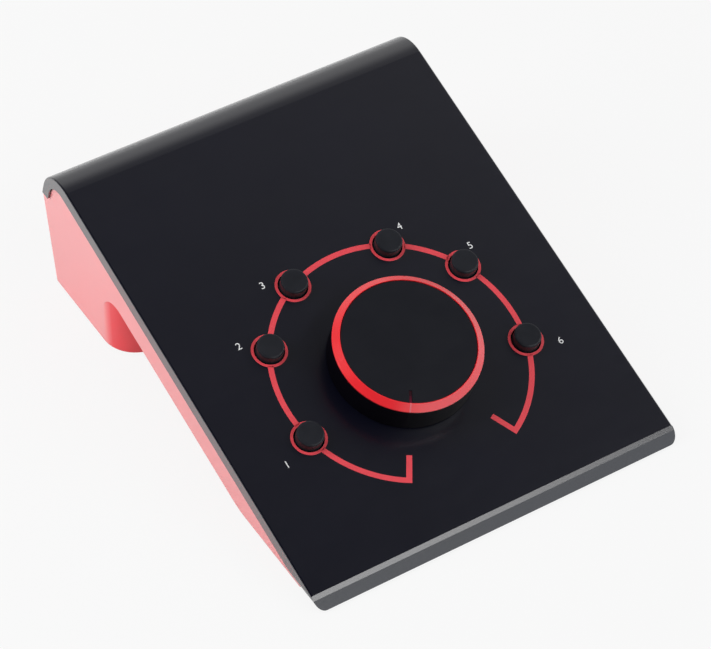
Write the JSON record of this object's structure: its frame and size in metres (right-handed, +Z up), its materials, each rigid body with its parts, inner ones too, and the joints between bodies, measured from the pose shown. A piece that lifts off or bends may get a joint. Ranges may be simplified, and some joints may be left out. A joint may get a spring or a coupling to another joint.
{
  "type": "studio monitor controller",
  "caption": "Desktop monitor controller: sloping black panel on a red arched base, large volume knob with a red ring, push buttons round it and audio sockets at the rear.",
  "frame": {"origin": "centre of the bounding box's footprint, on the table plane under the feet", "axes": "+X to the user's right, +Y to the rear, +Z up"},
  "size_m": [0.14, 0.1856, 0.0527],
  "materials": {
    "cover_black": "satin",
    "housing_red": "gloss",
    "rubber": "matte",
    "screw_steel": "satin",
    "knob_black": "satin",
    "knob_disc": "satin",
    "accent_red": "gloss",
    "shaft_metal": "satin",
    "plated_steel": "satin",
    "button_black": "satin",
    "plunger_white": "matte",
    "switch_grey": "matte",
    "board_green": "satin",
    "connector_black": "matte",
    "ribbon_grey": "matte",
    "phono_red": "gloss",
    "phono_white": "gloss",
    "phono_plating": "gloss"
  },
  "bodies": {
    "chassis": {"top_cover": "cover_black", "lower_housing": "housing_red", "foot_front_left": "rubber", "foot_front_right": "rubber", "foot_rear_left": "rubber", "foot_rear_right": "rubber", "housing_screws": "screw_steel", "main_board_screws": "screw_steel", "pot_bushing": "shaft_metal", "pot_case": "plated_steel", "pot_washer": "plated_steel", "pot_nut": "plated_steel", "pot_terminals": "plated_steel", "jack_washers": "plated_steel", "jack_nuts": "plated_steel", "switch_mute": "switch_grey", "switch_input_select": "switch_grey", "switch_channel_swap": "switch_grey", "switch_output_a": "switch_grey", "switch_output_b": "switch_grey", "switch_mono": "switch_grey", "main_board": "board_green", "jack_board": "board_green", "ribbon_header_main": "connector_black", "ribbon_header_jack": "connector_black", "phono_case": "connector_black", "jack_input_left": "connector_black", "jack_input_right": "connector_black", "jack_main_left": "connector_black", "jack_main_right": "connector_black", "jack_second_left": "connector_black", "jack_second_right": "connector_black", "ribbon_cable": "ribbon_grey", "phono_bush_upper": "phono_red", "phono_bush_lower": "phono_white", "phono_shells": "phono_plating"},
    "volume_knob": {"pot_shaft": "shaft_metal", "knob_body": "knob_black", "knob_ring": "accent_red", "knob_cap": "knob_disc"},
    "mute_button": {"button_mute": "button_black", "plunger_mute": "plunger_white"},
    "input_select_button": {"button_input_select": "button_black", "plunger_input_select": "plunger_white"},
    "channel_swap_button": {"button_channel_swap": "button_black", "plunger_channel_swap": "plunger_white"},
    "output_a_button": {"button_output_a": "button_black", "plunger_output_a": "plunger_white"},
    "output_b_button": {"button_output_b": "button_black", "plunger_output_b": "plunger_white"},
    "mono_button": {"button_mono": "button_black", "plunger_mono": "plunger_white"}
  },
  "joints": [
    {"name": "volume_turn", "type": "hinge", "parent": "chassis", "child": "volume_knob", "pos_m": [0, -0.0312, 0.02228], "axis": [0, 0.2924, -0.9563], "range_deg": [0, 300]},
    {"name": "mute_press", "type": "slide", "parent": "chassis", "child": "mute_button", "axis": [0, 0.2924, -0.9563], "range_m": [0, 0.002], "stiffness_N_per_m": 400, "springref_m": -0.002},
    {"name": "input_select_press", "type": "slide", "parent": "chassis", "child": "input_select_button", "axis": [0, 0.2924, -0.9563], "range_m": [0, 0.002], "stiffness_N_per_m": 400, "springref_m": -0.002},
    {"name": "channel_swap_press", "type": "slide", "parent": "chassis", "child": "channel_swap_button", "axis": [0, 0.2924, -0.9563], "range_m": [0, 0.002], "stiffness_N_per_m": 400, "springref_m": -0.002},
    {"name": "output_a_press", "type": "slide", "parent": "chassis", "child": "output_a_button", "axis": [0, 0.2924, -0.9563], "range_m": [0, 0.002], "stiffness_N_per_m": 400, "springref_m": -0.002},
    {"name": "output_b_press", "type": "slide", "parent": "chassis", "child": "output_b_button", "axis": [0, 0.2924, -0.9563], "range_m": [0, 0.002], "stiffness_N_per_m": 400, "springref_m": -0.002},
    {"name": "mono_press", "type": "slide", "parent": "chassis", "child": "mono_button", "axis": [0, 0.2924, -0.9563], "range_m": [0, 0.002], "stiffness_N_per_m": 400, "springref_m": -0.002}
  ]
}
